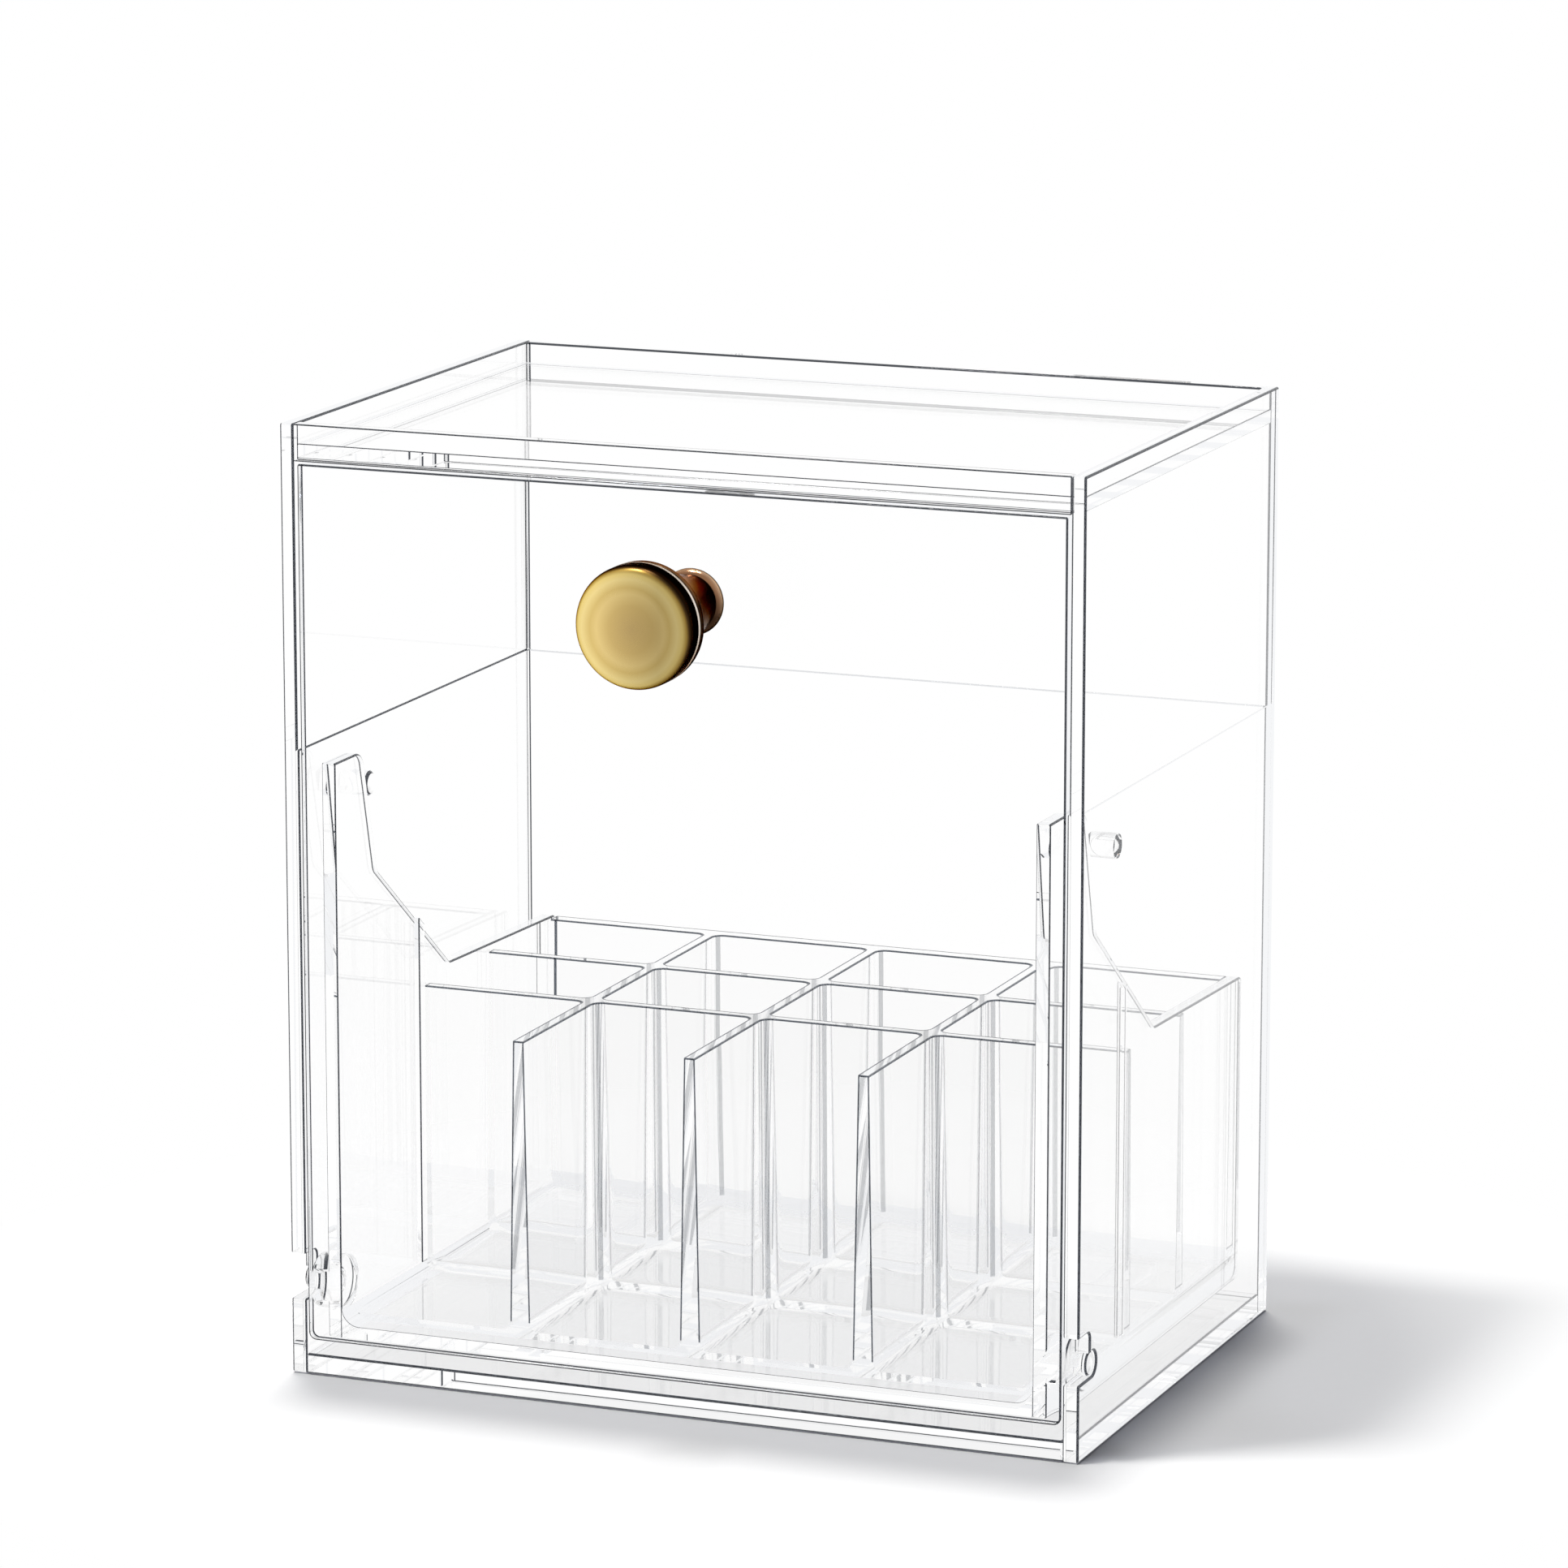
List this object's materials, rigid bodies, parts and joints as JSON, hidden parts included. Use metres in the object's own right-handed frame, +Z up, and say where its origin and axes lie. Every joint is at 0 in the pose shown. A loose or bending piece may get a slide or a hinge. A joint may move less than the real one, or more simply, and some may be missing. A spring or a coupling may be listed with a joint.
{
  "type": "acrylic makeup organizer",
  "caption": "Clear open-fronted acrylic case with a tray top and a brass-knobbed tip-out bin that holds a lift-out divider rack.",
  "frame": {"origin": "centre of the case's footprint, on the surface it stands on", "axes": "+Z up; the front panel and knob face -Y; +X to the right of someone facing the front"},
  "size_m": [0.184, 0.1615, 0.212],
  "materials": {
    "clear_acrylic": "clear polished acrylic sheet with bonded joints",
    "clear_acrylic_bin": "clear polished acrylic sheet with bonded joints",
    "clear_moulded_rack": "clear injection-moulded acrylic, glossy",
    "brushed_brass": "satin antique brass, turned",
    "zinc_plated_steel": "bright zinc plating"
  },
  "bodies": {
    "case": {"side_wall_left": "clear_acrylic", "side_wall_right": "clear_acrylic", "back_wall": "clear_acrylic", "base_plate": "clear_acrylic", "top_panel": "clear_acrylic", "front_header": "clear_acrylic", "stop_peg_left": "clear_acrylic", "stop_peg_right": "clear_acrylic"},
    "bin": {"front_panel": "clear_acrylic_bin", "bin_cheek_left": "clear_acrylic_bin", "bin_cheek_right": "clear_acrylic_bin", "bin_floor": "clear_acrylic_bin", "pivot_stud_left": "clear_acrylic_bin", "pivot_stud_right": "clear_acrylic_bin", "knob_cap": "brushed_brass", "knob_body": "brushed_brass", "knob_rosette": "brushed_brass", "knob_washer": "zinc_plated_steel", "knob_screw": "zinc_plated_steel"},
    "rack": {"divider_rack": "clear_moulded_rack"}
  },
  "joints": [
    {"name": "bin_tilt", "type": "hinge", "parent": "case", "child": "bin", "pos_m": [0, -0.055, 0.0198], "axis": [1, 0, 0], "range_deg": [0, 47]},
    {"name": "rack_lift", "type": "slide", "parent": "bin", "child": "rack", "axis": [0, 0, 1], "range_m": [0, 0.08]}
  ]
}
